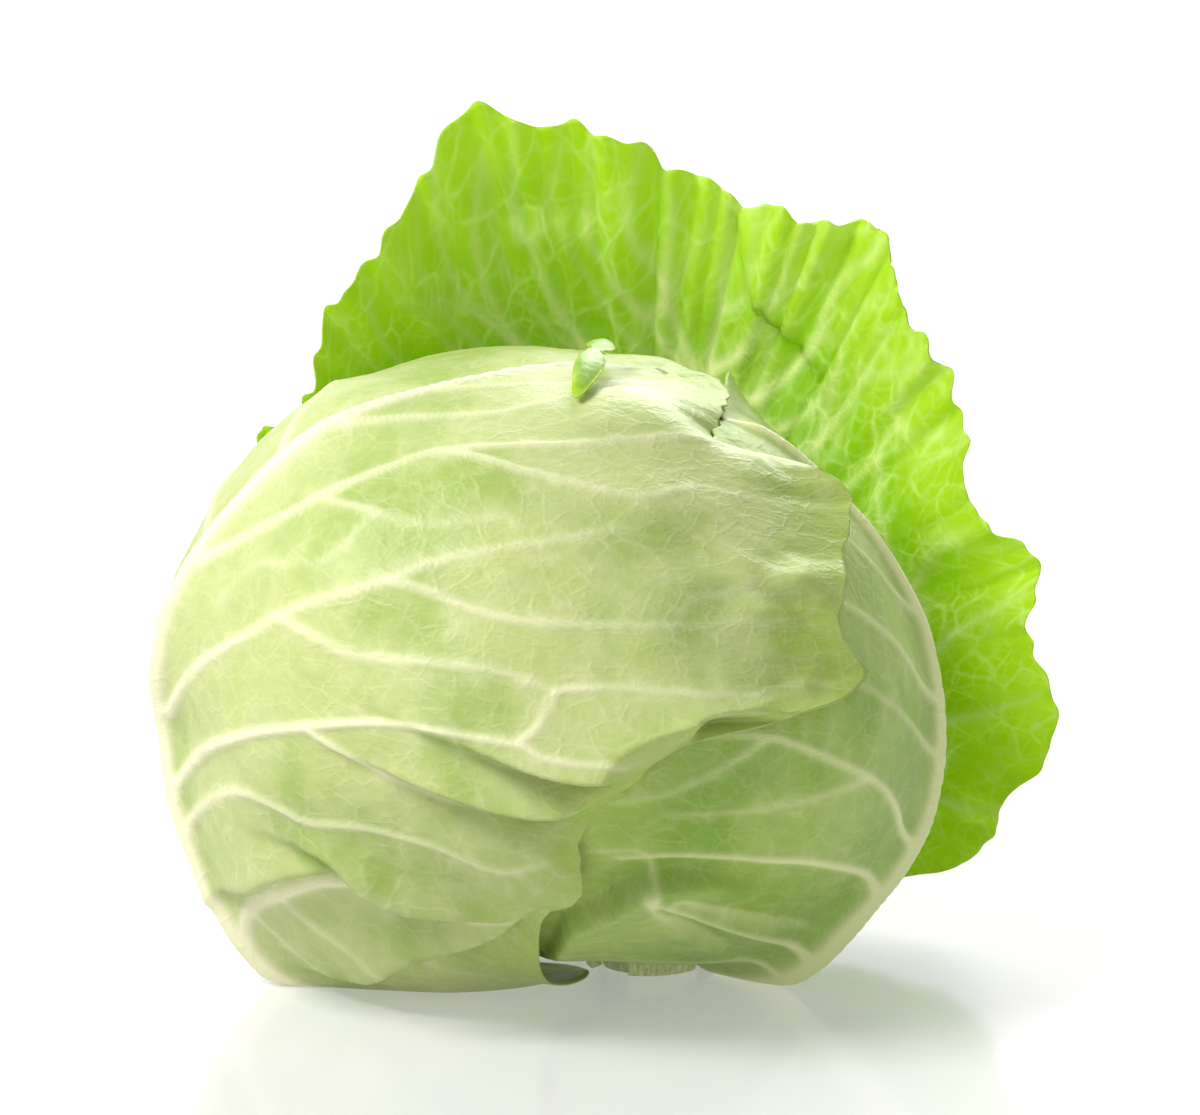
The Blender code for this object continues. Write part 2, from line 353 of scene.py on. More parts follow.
def read_map(field, x, y):
    """Reads a map between its cells."""
    column = np.clip((x + HALF_MAP) / CELL, 0, CELLS - 1.001)
    row = np.clip((y + HALF_MAP) / CELL, 0, CELLS - 1.001)
    i, j = row.astype(int), column.astype(int)
    down, across = row - i, column - j
    return (
        field[i, j] * (1 - down) * (1 - across) + field[i, j + 1] * (1 - down) * across
        + field[i + 1, j] * down * (1 - across) + field[i + 1, j + 1] * down * across
    )


def draw_veins(places, widths, joined, softness):
    """Two maps of the net: how high it stands in millimetres, and how pale it is from 0 to 1."""
    high, pale = np.zeros(CELLS * CELLS), np.zeros(CELLS * CELLS)
    pairs = np.array(joined)
    a, b = places[pairs[:, 0]], places[pairs[:, 1]]
    wide_a, wide_b = widths[pairs[:, 0]], widths[pairs[:, 1]]
    wide_b = np.minimum(wide_b, wide_a * 1.3 + 0.1)
    count = np.maximum(2, np.ceil(np.linalg.norm(a - b, axis=1) / STROKE_STEP)).astype(int)
    spots, wide = [], []
    for t in np.linspace(0, 1, count.max()):
        spots.append(a + (b - a) * t)
        wide.append(wide_a + (wide_b - wide_a) * t)
    spots, wide = np.vstack(spots), np.concatenate(wide)
    for low, top, reach in DABS:
        some = (wide >= low) & (wide < top)
        if not some.any():
            continue
        offset = np.arange(-reach, reach + 1)
        cell = np.floor((spots[some] + HALF_MAP) / CELL).astype(int)
        size = wide[some]
        for row_step in offset:
            for column_step in offset:
                at = cell + (column_step, row_step)
                away = np.linalg.norm((at + 0.5) * CELL - HALF_MAP - spots[some], axis=1)
                index = np.clip(at[:, 1], 0, CELLS - 1) * CELLS + np.clip(at[:, 0], 0, CELLS - 1)
                round_size = VEIN_ROUNDNESS * size
                np.maximum.at(high, index, round_size * np.exp(-(away / round_size) ** 2))
                edge = np.clip((VEIN_EDGE - away / size) / EDGE_FADE, 0, 1)
                paleness = np.clip(PALE_LEAST + PALE_RISE * size, 0, 1)
                np.maximum.at(pale, index, edge * edge * (3 - 2 * edge) * paleness)
    high, pale = high.reshape(CELLS, CELLS), pale.reshape(CELLS, CELLS)
    return blur(high, HIGH_SOFTNESS), blur(pale, softness) * PALE_GAIN


def pleat(crest, height, before, behind):
    """A map of one pleat. The blade rises to the crest line on its left side and drops behind it."""
    side = np.arange(CELLS) * CELL - HALF_MAP + CELL / 2
    x, y = np.meshgrid(side, side)
    line = along_rib(crest, 3.0)
    nearest = np.full(x.shape, 1e9)
    signed = np.zeros(x.shape)
    fade = np.zeros(x.shape)
    for number, (start, end) in enumerate(zip(line, line[1:])):
        run = end - start
        t = np.clip(((x - start[0]) * run[0] + (y - start[1]) * run[1]) / (run @ run), 0, 1)
        off_x, off_y = x - start[0] - t * run[0], y - start[1] - t * run[1]
        distance = np.hypot(off_x, off_y)
        closer = distance < nearest
        nearest = np.where(closer, distance, nearest)
        signed = np.where(closer, np.sign(run[0] * off_y - run[1] * off_x) * distance, signed)
        share = (number + t) / (len(line) - 1)
        fade = np.where(closer, np.sin(math.pi * np.clip(share, 0.02, 0.98)) ** 0.5, fade)
    rise = np.where(signed > 0, np.exp(-(nearest / before) ** PLEAT_SHAPE), 0)
    drop = np.where(signed <= 0, np.exp(-(nearest / behind) ** PLEAT_SHAPE), 0)
    return blur(PLEAT_DEPTH * height * fade * (rise - BEHIND_SHARE * drop), PLEAT_SOFTNESS)


def uneven(turn, slowest, fastest, seed):
    """A closed ring of uneven waves, mostly between -1 and 1, with this many to a turn."""
    random = np.random.default_rng(seed)
    total = np.zeros_like(turn)
    for waves in range(slowest, fastest):
        size = random.normal() * (slowest / waves) ** 0.7
        total += size * np.sin(waves * turn + random.uniform(0, 6.28))
    return total / (2 * total.std())


print("each relief map has", CELLS, "by", CELLS, "cells")

# %% [markdown]
# ## A leaf as a closed sheet
# A square grid is stretched to a disc and then to the leaf's outline, so its squares run out to
# the rim without a crowded middle. The side of the leaf that shows gets all the squares. Its
# other side gets every second one, because it faces the head, and a ring of five-sided faces
# joins the two at the rim. Both sides follow the same relief, so the leaf has a true thickness,
# thin at the rim and thick at its middle.

# %% Building a leaf
REST_HEIGHT = 1.4
REST_BEND = 1.2
CURL_BAND = 22.0         # how wide the curling rim is
CURL_SHARE = 0.4         # and the most of a small leaf that it takes
RIM_THICKNESS = 0.35     # the rim's share of the leaf's thickness
THINNING = 0.12          # share of the leaf over which it thins
FLOOR_GAP = 0.15


def settle(points, rest):
    """Lets no point sink below the resting height: what would sink spreads flat there."""
    height = points[..., 2] - rest
    points[..., 2] = rest + REST_BEND * np.logaddexp(0, height / REST_BEND)
    return points


def leaf_surface(squares, outline, layer, facing, hug, relief, swells, waves_round, ruffles, frill, crowding,
                 thickness, fold_in):
    """Places for the grid on the leaf's outer side, its flat places and its share of the way to the rim."""
    side = np.linspace(-1, 1, squares + 1)
    column, row = np.meshgrid(side, side)
    disc_x, disc_y = column * np.sqrt(1 - row ** 2 / 2), row * np.sqrt(1 - column ** 2 / 2)
    share = np.hypot(disc_x, disc_y)
    angle = np.degrees(np.arctan2(disc_x, -disc_y))
    share = share * (1 + crowding * (1 - share))
    rim = round_the_rim(outline, 1, angle)
    turn = np.radians(angle)
    held = (1 - np.cos(turn)) / 2
    for slowest, fastest, height in frill:
        rim = rim + height * held * uneven(turn, slowest, fastest, slowest)
    reach = share * rim
    band = np.minimum(CURL_BAND, CURL_SHARE * rim)
    curl = np.radians(round_the_rim(outline, 3, angle)) / band
    into = np.maximum(reach - (rim - band), 0)
    reach = np.minimum(reach, rim - band) + into * np.sinc(curl * into / math.pi)
    flat_x, flat_y = reach * np.sin(turn), -reach * np.cos(turn)
    lift = layer + thickness + (round_the_rim(outline, 2, angle) - layer) * share ** hug
    lift = lift + into * np.sinc(curl * into / (2 * math.pi)) * np.sin(curl * into / 2)
    for swell_x, swell_y, radius, height in swells:
        lift = lift + height * np.exp(-((flat_x - swell_x) ** 2 + (flat_y - swell_y) ** 2) / radius ** 2)
    for waves, start, height, power in waves_round:
        lift = lift + height * held * share ** power * np.sin(waves * turn + math.radians(start))
    for slowest, fastest, height, power in ruffles:
        lift = lift + height * held * share ** power * uneven(turn, slowest, fastest, fastest)
    lift = lift + read_map(relief, flat_x, flat_y) * np.clip((1.02 - share) / 0.1, fold_in, 1)
    points = settle(over_head(flat_x, flat_y, lift, facing), REST_HEIGHT - thickness)
    return points, flat_x, flat_y, share


def grid_normals(points):
    """The outward direction at each place of a grid."""
    across = np.cross(np.gradient(points, axis=1), np.gradient(points, axis=0))
    length = np.linalg.norm(across, axis=-1, keepdims=True)
    return across / np.maximum(length, 1e-9)


def leaf_sheet(name, outer, thickness, share, every, replaces, facts):
    """Makes the closed mesh. every says how many squares of the outer side meet one of the inner side."""
    squares = outer.shape[0] - 1
    if squares % every:
        raise ValueError("the squares don't divide")
    normals = grid_normals(outer)
    middle = squares // 2
    if normals[middle, middle] @ (outer[middle, middle] - CENTRE) < 0:
        normals = -normals
    thick = thickness * (RIM_THICKNESS + (1 - RIM_THICKNESS) * np.clip((1 - share) / THINNING, 0, 1))
    inner = (outer - normals * thick[..., None])[::every, ::every]
    inner[..., 2] = np.maximum(inner[..., 2], FLOOR_GAP)
    wide, narrow = squares + 1, squares // every + 1

    def quads(width, start, flip):
        """The squares of a grid, as corner numbers."""
        corner = start + (np.arange(width - 1)[:, None] * width + np.arange(width - 1)[None, :]).ravel()
        loop = np.stack([corner, corner + 1, corner + width + 1, corner + width], -1)
        return loop[:, ::-1] if flip else loop

    def edge(width, start):
        """The corner numbers round a grid's edge."""
        top = np.arange(width - 1)
        return start + np.concatenate([
            top, width - 1 + top * width, width * width - 1 - top, width * (width - 1) - top * width,
        ])

    faces_out = quads(wide, 0, True).tolist()
    faces_in = quads(narrow, wide * wide, False).tolist()
    outer_edge, inner_edge = edge(wide, 0), edge(narrow, wide * wide)
    rim_faces = []
    for number in range(len(inner_edge)):
        here, after = inner_edge[number], inner_edge[(number + 1) % len(inner_edge)]
        steps = [outer_edge[(number * every + step) % len(outer_edge)] for step in range(every + 1)]
        rim_faces.append([int(value) for value in steps + [after, here]])
    mesh = bpy.data.meshes.new(name)
    points = np.vstack([outer.reshape(-1, 3), inner.reshape(-1, 3)]) * MM
    mesh.from_pydata(points.tolist(), [], faces_out + faces_in + rim_faces)
    shell = bmesh.new()
    shell.from_mesh(mesh)
    bmesh.ops.recalc_face_normals(shell, faces=shell.faces)
    shell.to_mesh(mesh)
    shell.free()
    for title, values in facts.items():
        fewer = values[::every, ::every]
        both = np.concatenate([values.reshape((wide ** 2, -1)), fewer.reshape((narrow ** 2, -1))])
        kind, key = ("FLOAT", "value") if both.shape[1] == 1 else ("FLOAT_VECTOR", "vector")
        field = mesh.attributes.new(title, kind, "POINT")
        field.data.foreach_set(key, both.astype(np.float32).ravel())
    mesh.shade_smooth()
    piece = bpy.data.objects.new(name, mesh)
    bpy.context.scene.collection.objects.link(piece)
    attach(piece, "root")
    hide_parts(replaces)
    triangles = 2 * (len(faces_out) + len(faces_in)) + len(rim_faces) * (every + 1)
    print(name, "has", triangles, "triangles, lowest", round(float(points[:, 2].min() * 1000), 2), "mm")
    return piece


def leaf(name, squares, every, replaces, ribs, spacing, seed, outline, layer, facing, thickness,
         hug=4.0, vein_height=1.0, bumps=(), pleats=(), swells=(), waves_round=(), ruffles=(), frill=(),
         crowding=0.2, fold_in=0.15, groove=0.0, crinkles=(), dents=(), slim=1.0, softness=0.85):
    """Grows a leaf's veins, works out its relief and makes its sheet."""
    places, widths, joined = grow_veins(ribs, outline, spacing, seed)
    high, pale = draw_veins(places, widths * slim, joined, softness)
    relief = vein_height * high + SHOULDER * blur(high, SHOULDER_WIDTH) - groove * blur(pale, GROOVE_WIDTH)
    for number, (radius, height) in enumerate(bumps):
        relief = relief + height * soft_noise(radius, seed + 10 + number)
    for crest, height, before, behind in pleats:
        relief = relief + pleat(crest, height, before, behind)
    side = np.arange(CELLS) * CELL - HALF_MAP
    map_x, map_y = np.meshgrid(side, side)
    for x, y, radius, depth in dents:
        relief = relief - depth * np.exp(-((map_x - x) ** 2 + (map_y - y) ** 2) / radius ** 2)
    for number, (x, y, radius, size, height) in enumerate(crinkles):
        here = np.exp(-((map_x - x) ** 2 + (map_y - y) ** 2) / radius ** 2)
        relief = relief + height * here * soft_noise(size, seed + 30 + number)
    near_vein = blur(pale, NEAR_WIDTH)
    points, flat_x, flat_y, share = leaf_surface(
        squares, outline, layer, facing, hug, relief, swells, waves_round, ruffles, frill, crowding,
        thickness, fold_in)
    facts = {
        "vein": read_map(pale, flat_x, flat_y),
        "near_vein": read_map(near_vein, flat_x, flat_y),
        "share": share,
        "flat": np.stack([flat_x * MM, flat_y * MM, np.zeros_like(share)], -1),
    }
    print(name, "has a net of", len(places), "vein points and", len(joined), "links")
    return leaf_sheet(name, points, thickness, share, every, replaces, facts)


# %% [markdown]
# ## Finishes, written as expressions
# A finish is a small program of shader nodes. Wired by hand it is hard to read, so one class
# wraps a node's socket and lets it be added and multiplied like a number, and one method makes
# any other node.

# %% The wire and the finish
class Wire:
    """One output socket. Arithmetic with it adds the Math node that works it out."""

    def __init__(self, finish, socket):
        self.finish, self.socket = finish, socket

    def _maths(self, operation, *values):
        return self.finish.node("Math", {"operation": operation}, dict(enumerate(values)))

    def __add__(self, other):
        return self._maths("ADD", self, other)

    def __rsub__(self, other):
        return self._maths("SUBTRACT", other, self)

    def __mul__(self, other):
        return self._maths("MULTIPLY", self, other)

    def clamp(self):
        """The same value, held between 0 and 1."""
        return self.finish.node("Clamp", {}, {0: self})

    def between(self, low, high):
        """0 up to low, 1 from high, and a soft slope between them."""
        settings = {"interpolation_type": "SMOOTHSTEP"}
        return self.finish.node("MapRange", settings, {0: self, 1: low, 2: high})


class Finish:
    """A material under construction."""

    def __init__(self, name):
        self.material = bpy.data.materials.new(name)
        self.material.use_nodes = True
        self.tree = self.material.node_tree
        self.tree.nodes.clear()

    def node(self, kind, settings, inputs, output=0):
        """Adds a node: its settings first, then the values or links of its sockets."""
        node = self.tree.nodes.new("ShaderNode" + kind)
        for key, value in settings.items():
            setattr(node, key, value)
        for key, value in inputs.items():
            socket = node.inputs[key]
            if isinstance(value, Wire):
                self.tree.links.new(value.socket, socket)
            elif isinstance(value, tuple) and len(value) == 3 and socket.type == "RGBA":
                socket.default_value = (*value, 1)
            else:
                socket.default_value = value
        return Wire(self, node.outputs[output]) if node.outputs else None

    def blend(self, share, a, b):
        """Colour a where share is 0, colour b where it is 1."""
        return self.node("Mix", {"data_type": "RGBA"}, {0: share, 6: a, 7: b}, 2)

    def field(self, title, output=2):
        """An attribute of the mesh."""
        return self.node("Attribute", {"attribute_name": title}, {}, output)

    def noise(self, size, detail=3.0, place=None, rough=0.55):
        """Noise whose patches are about this many millimetres wide."""
        inputs = {"Scale": 1 / (size * MM), "Detail": detail, "Roughness": rough}
        inputs["Vector"] = place or self.node("TexCoord", {}, {}, 3)
        return self.node("TexNoise", {}, inputs)

    def bump(self, height, distance, strength, under=None):
        """A bump of this many millimetres."""
        inputs = {"Height": height, "Distance": distance * MM, "Strength": strength}
        if under:
            inputs["Normal"] = under
        return self.node("Bump", {}, inputs)

    def end(self, shader):
        """Sends the shader to the material's output and returns the material."""
        self.node("OutputMaterial", {}, {"Surface": shader})
        return self.material


def paint(piece, material):
    """Gives a piece one finish all over."""
    piece.data.materials.clear()
    piece.data.materials.append(material)


print("finishes are ready to be written")

# %% [markdown]
# ## The finish of a cabbage leaf
# A leaf is green where its blade is thick, yellower where it is thin, and nearly white along its
# ribs. Its blade can also get painted shade: darker towards its base, by the head, where shade
# falls. Wrapper leaves have a waxy bloom, a dull blue-white film that is rubbed off in places.
# Light goes through a leaf, so part of the shader is translucent, less so in a rib. The finest
# net of all, a millimetre or two across, is too small for the mesh and is drawn with Voronoi
# cells over the flat leaf.

# %% A leaf's finish
def leaf_finish(name, blade, deep, thin, rib, glow, shine_through, gloss, bloom, net_strength,
                shade=0.0):
    """Colours: the usual blade, its greener patches and painted shade, its thin rim, its ribs, and what
    shines through.
    """
    f = Finish(name)
    flat = f.field("flat", 1)
    vein = f.field("vein")
    near = f.field("near_vein")
    share = f.field("share")
    patches = f.noise(38, 3.0).between(0.44, 0.66)
    flecks = f.noise(7, 4.0, flat).between(0.40, 0.75)
    colour = f.blend(patches * 0.75, blade, deep)
    colour = f.blend(flecks * 0.22, colour, deep)
    # painted shade: the blade is darker towards its base, by the head, where shade falls
    colour = f.blend((1 - share.between(0.66, 0.98)) * shade, colour, deep)
    colour = f.blend(share.between(0.80, 1.0) * 0.65, colour, thin)
    colour = f.blend((near * 1.1).clamp() * 0.25, colour, rib)
    warp = f.noise(9, 2.0, flat, 0.5)
    bent = f.node("VectorMath", {"operation": "MULTIPLY_ADD"}, {0: f.node("TexNoise", {}, {
        "Vector": flat, "Scale": 90.0, "Detail": 2.0}, 1), 1: (0.004, 0.004, 0.0), 2: flat})
    to_edge = {"feature": "DISTANCE_TO_EDGE"}
    cells = f.node("TexVoronoi", to_edge, {"Vector": bent, "Scale": 260.0, "Randomness": 1.0})
    net = 1 - cells.between(0.0, 0.16)
    wide_cells = f.node("TexVoronoi", to_edge, {"Vector": bent, "Scale": 120.0, "Randomness": 1.0})
    wide_net = 1 - wide_cells.between(0.0, 0.09)
    fine = (net * 0.5 + wide_net * 0.8) * warp.between(0.25, 0.6)
    colour = f.blend((fine * net_strength).clamp(), colour, rib)
    colour = f.blend((vein * 1.25).clamp() * 0.92, colour, rib)
    if bloom:
        film = f.noise(22, 5.0, None, 0.65).between(0.35, 0.7) * (1 - vein * 0.6)
        colour = f.blend(film * bloom, colour, (0.62, 0.70, 0.47))
    grain = f.noise(1.1, 2.0)
    rough = f.noise(15, 4.0) * 0.18 + gloss
    height = f.bump(fine * 0.6 + grain * 0.35, 0.25, 0.55)
    normal = f.bump(f.noise(4.5, 3.0, flat), 0.9, 0.35, height)
    skin = f.node("BsdfPrincipled", {}, {
        "Base Color": colour, "Roughness": rough, "Normal": normal, "Specular IOR Level": 0.42, "IOR": 1.42})
    through = f.node("BsdfTranslucent", {}, {"Color": (*glow, 1)})
    share_through = (1 - vein * 0.75) * (share.between(0.35, 0.95) * 0.6 + 0.4) * shine_through
    return f.end(f.node("MixShader", {}, {0: share_through, 1: skin, 2: through}))


waxy = leaf_finish(
    "waxy_leaf",
    blade=(0.47, 0.54, 0.19), deep=(0.25, 0.38, 0.04), thin=(0.36, 0.5, 0.07),
    rib=(0.84, 0.8, 0.54), glow=(0.5, 0.62, 0.12), shine_through=0.12, gloss=0.38, bloom=0.12,
    net_strength=0.12,
)
inner_waxy = leaf_finish(
    "green_wrapper",
    blade=(0.34, 0.48, 0.09), deep=(0.18, 0.35, 0.02), thin=(0.36, 0.5, 0.08),
    rib=(0.7, 0.74, 0.36), glow=(0.45, 0.66, 0.06), shine_through=0.12, gloss=0.38, bloom=0.08,
    net_strength=0.14,
)
bright = leaf_finish(
    "bright_leaf",
    blade=(0.38, 0.6, 0.01), deep=(0.15, 0.36, 0.003), thin=(0.56, 0.76, 0.03),
    rib=(0.88, 0.94, 0.42), glow=(0.62, 0.88, 0.01), shine_through=0.46, gloss=0.34, bloom=0.0,
    net_strength=0.4, shade=0.85,
)
pale = leaf_finish(
    "pale_leaf",
    blade=(0.5, 0.62, 0.22), deep=(0.36, 0.52, 0.12), thin=(0.5, 0.64, 0.2),
    rib=(0.78, 0.82, 0.5), glow=(0.6, 0.8, 0.2), shine_through=0.2, gloss=0.36, bloom=0.1,
    net_strength=0.3,
)
print("four leaf finishes:", waxy.name, inner_waxy.name, bright.name, pale.name)

# %% [markdown]
# ## The front wrapper leaf
# The widest leaf wraps the whole front of the head. Its midrib climbs on the left, and long ribs
# sweep from it to the right, where the rim curls out and its lower corner lies in loose pleats.
# Its tip is a crinkled tuft on the crown.

# %% The front leaf
FRONT_RIBS = [
    ([(0, -172), (-12, -145), (-24, -110), (-32, -75), (-32, -40), (-18, -8), (-6, 22), (8, 50),
      (20, 74), (32, 98), (36, 122), (36, 150), (38, 168)], 7.5, 0.8),
    ([(-28, -95), (-17, -85), (19, -78), (40, -80), (50, -87), (61, -93), (72, -93)], 2.4, 0.9),
    ([(-17, -85), (-12, -94), (-5, -105)], 0.9, 0.6),
    ([(4, -82), (14, -96), (22, -112)], 0.8, 0.5),
    ([(-31, -62), (12, -47), (34, -52), (50, -53), (68, -58), (82, -65), (97, -60)], 1.7, 0.6),
    ([(-30, -51), (-5, -39), (22, -28), (44, -21), (61, -16), (76, -14), (98, -14), (105, -17),
      (122, -17)], 2.2, 0.9),
    ([(98, -14), (103, -8), (107, 4), (120, 8)], 1.1, 0.8),
    ([(43, -22), (54, -29), (64, -35), (76, -41), (90, -43), (103, -43), (118, -36)], 1.2, 0.7),
    ([(-24, -30), (-11, -20), (16, 0), (32, 11), (48, 19), (60, 26), (71, 36), (84, 45), (96, 53),
      (106, 64)], 1.9, 0.7),
    ([(32, 11), (46, 7), (58, 4), (77, 6), (94, 7), (107, 4), (120, 8), (140, 10)], 1.2, 0.7),
    ([(60, 26), (69, 27), (86, 24), (102, 25), (132, 34)], 1.0, 0.6),
    ([(-6, 20), (12, 31), (30, 47), (44, 60), (56, 71), (77, 72), (105, 78), (115, 94)], 1.6, 0.7),
    ([(30, 47), (50, 46), (65, 46), (81, 55), (86, 51)], 0.9, 0.5),
    ([(50, 46), (42, 29), (20, 24), (8, 12)], 0.7, 0.5),
    ([(10, 54), (19, 69), (44, 85), (59, 98), (73, 138)], 1.3, 0.6),
    ([(56, 71), (84, 92), (104, 118), (118, 140)], 1.0, 0.5),
    ([(28, 90), (50, 112), (62, 140)], 1.0, 0.5),
    ([(-31, -75), (-60, -80), (-90, -75), (-125, -60)], 2.0, 0.7),
    ([(-30, -50), (-60, -40), (-95, -25), (-135, -5)], 2.0, 0.7),
    ([(-22, -15), (-50, 5), (-85, 20), (-130, 45)], 1.8, 0.6),
    ([(-4, 25), (-35, 50), (-70, 75), (-105, 100)], 1.6, 0.6),
    ([(10, 55), (-15, 85), (-45, 110), (-70, 130)], 1.4, 0.6),
    ([(-16, -130), (-45, -125), (-75, -118)], 1.6, 0.7),
]
FRONT_PLEATS = [
    ([(84, -18), (107, -25), (125, -21), (137, -7), (141, 1), (154, 5), (178, 8)], 6.0, 13.0, 12.0),
    ([(62, -32), (80, -38), (95, -41), (109, -40), (126, -26)], 4.5, 12.0, 9.0),
    ([(26, -62), (37, -65), (47, -78), (59, -84), (76, -90)], 5.0, 13.0, 9.0),
    ([(-26, -80), (-4, -78), (11, -74), (35, -72), (46, -78)], 3.5, 9.0, 14.0),
    ([(-8, -106), (10, -110), (27, -107), (62, -101), (80, -88)], 5.0, 11.0, 8.0),
]
front_leaf = leaf(
    "front_wrapper_leaf", 260, 2, "wrapper_leaf_front", FRONT_RIBS, 7.0, 3, FRONT_OUTLINE, 5.4,
    (-60, -5), 1.2, hug=5, vein_height=1.15, bumps=[(15, 1.9), (6, 0.6)], slim=0.8, pleats=FRONT_PLEATS,
    swells=[(-25, -112, 55, 26), (-85, -130, 32, 14)], ruffles=[(14, 60, 1.3, 12)], frill=[(10, 110, 1.8)],
    crinkles=[(44, 172, 15, 2.2, 2.2), (158, 60, 22, 3.5, 1.8), (172, 10, 18, 3.0, 1.8),
              (118, 140, 26, 4.0, 1.2)])
paint(front_leaf, waxy)

# %% [markdown]
# ## The right wrapper leaf
# A second leaf comes round from behind on the right and goes under the front one. Its midrib
# shows as a broad pale band near the right edge of the head, and its lower blade is folded where
# the leaf was pressed against the ground.

# %% The right leaf
RIGHT_RIBS = [
    ([(0, -82), (-12, -62), (-18, -45), (-15, -28), (-5, -6), (5, 15), (11, 34), (14, 50), (15, 65), (13, 86),
      (10, 106), (2, 130), (-4, 142)], 7.5, 2.2),
    ([(-8, -25), (-20, -12), (-45, -5), (-67, -5), (-92, -11), (-107, -21)], 2.2, 1.0),
    ([(2, -6), (-18, 12), (-35, 25), (-56, 33), (-77, 39), (-98, 37)], 1.8, 0.8),
    ([(10, 12), (4, 28), (-27, 47), (-48, 57)], 1.4, 0.7),
    ([(-77, 39), (-99, 19), (-114, 6)], 0.9, 0.6),
    ([(-35, 25), (-43, 26), (-73, 17), (-101, 7)], 1.0, 0.6),
    ([(-14, -45), (-48, -42), (-70, -38), (-91, -31)], 2.0, 0.8),
    ([(-91, -31), (-102, -14), (-114, -22)], 0.9, 0.6),
    ([(-85, -29), (-71, -33), (-52, -35), (-31, -35)], 1.0, 0.7),
    ([(-95, -29), (-85, -39), (-69, -46), (-47, -54)], 1.2, 0.7),
    ([(-12, -55), (-35, -60), (-55, -72)], 1.6, 0.7),
    ([(18, 34), (-5, 55), (-30, 75), (-60, 90)], 1.5, 0.7),
    ([(21, 58), (0, 80), (-22, 105)], 1.4, 0.7),
    ([(-8, -28), (20, -30), (55, -28), (90, -20)], 2.0, 0.7),
    ([(4, 0), (35, 5), (75, 15), (120, 30)], 1.9, 0.7),
    ([(14, 22), (45, 38), (80, 55), (120, 80)], 1.7, 0.6),
    ([(21, 55), (45, 75), (75, 95), (95, 120)], 1.5, 0.6),
    ([(-12, -58), (20, -60), (60, -72)], 1.8, 0.7),
]
RIGHT_PLEATS = [
    ([(-66, -17), (-86, -19), (-96, -27), (-98, -38), (-97, -50), (-93, -68), (-70, -98)], 4.0, 12.0, 12.0),
    ([(-30, -36), (-52, -36), (-71, -34), (-88, -30)], 2.0, 8.0, 7.0),
    ([(-44, -56), (-69, -47), (-85, -40)], 2.2, 9.0, 6.0),
]
right_leaf = leaf(
    "right_wrapper_leaf", 220, 2, "wrapper_leaf_right", RIGHT_RIBS, 7.0, 5, RIGHT_OUTLINE, 3.0,
    (78, -5), 1.2, vein_height=0.9, bumps=[(13, 1.2), (6, 0.4)], slim=0.85,
    dents=[(-90, -17, 9, 1.2), (-90, -57, 9, 1.0)], pleats=RIGHT_PLEATS, swells=[(-12, -58, 30, 6)],
    ruffles=[(12, 50, 0.8, 14)], frill=[(10, 90, 1.4)])
paint(right_leaf, inner_waxy)

# %% [markdown]
# ## The loose leaf
# This leaf was the first to open. It is thin and bright, its ribs fan out to a frilled rim, and
# it stands away from the head so that light comes through from behind. Both of its sides show, so
# both get all the squares, and more of them are crowded towards the rim, where the leaf bends and
# ruffles most.

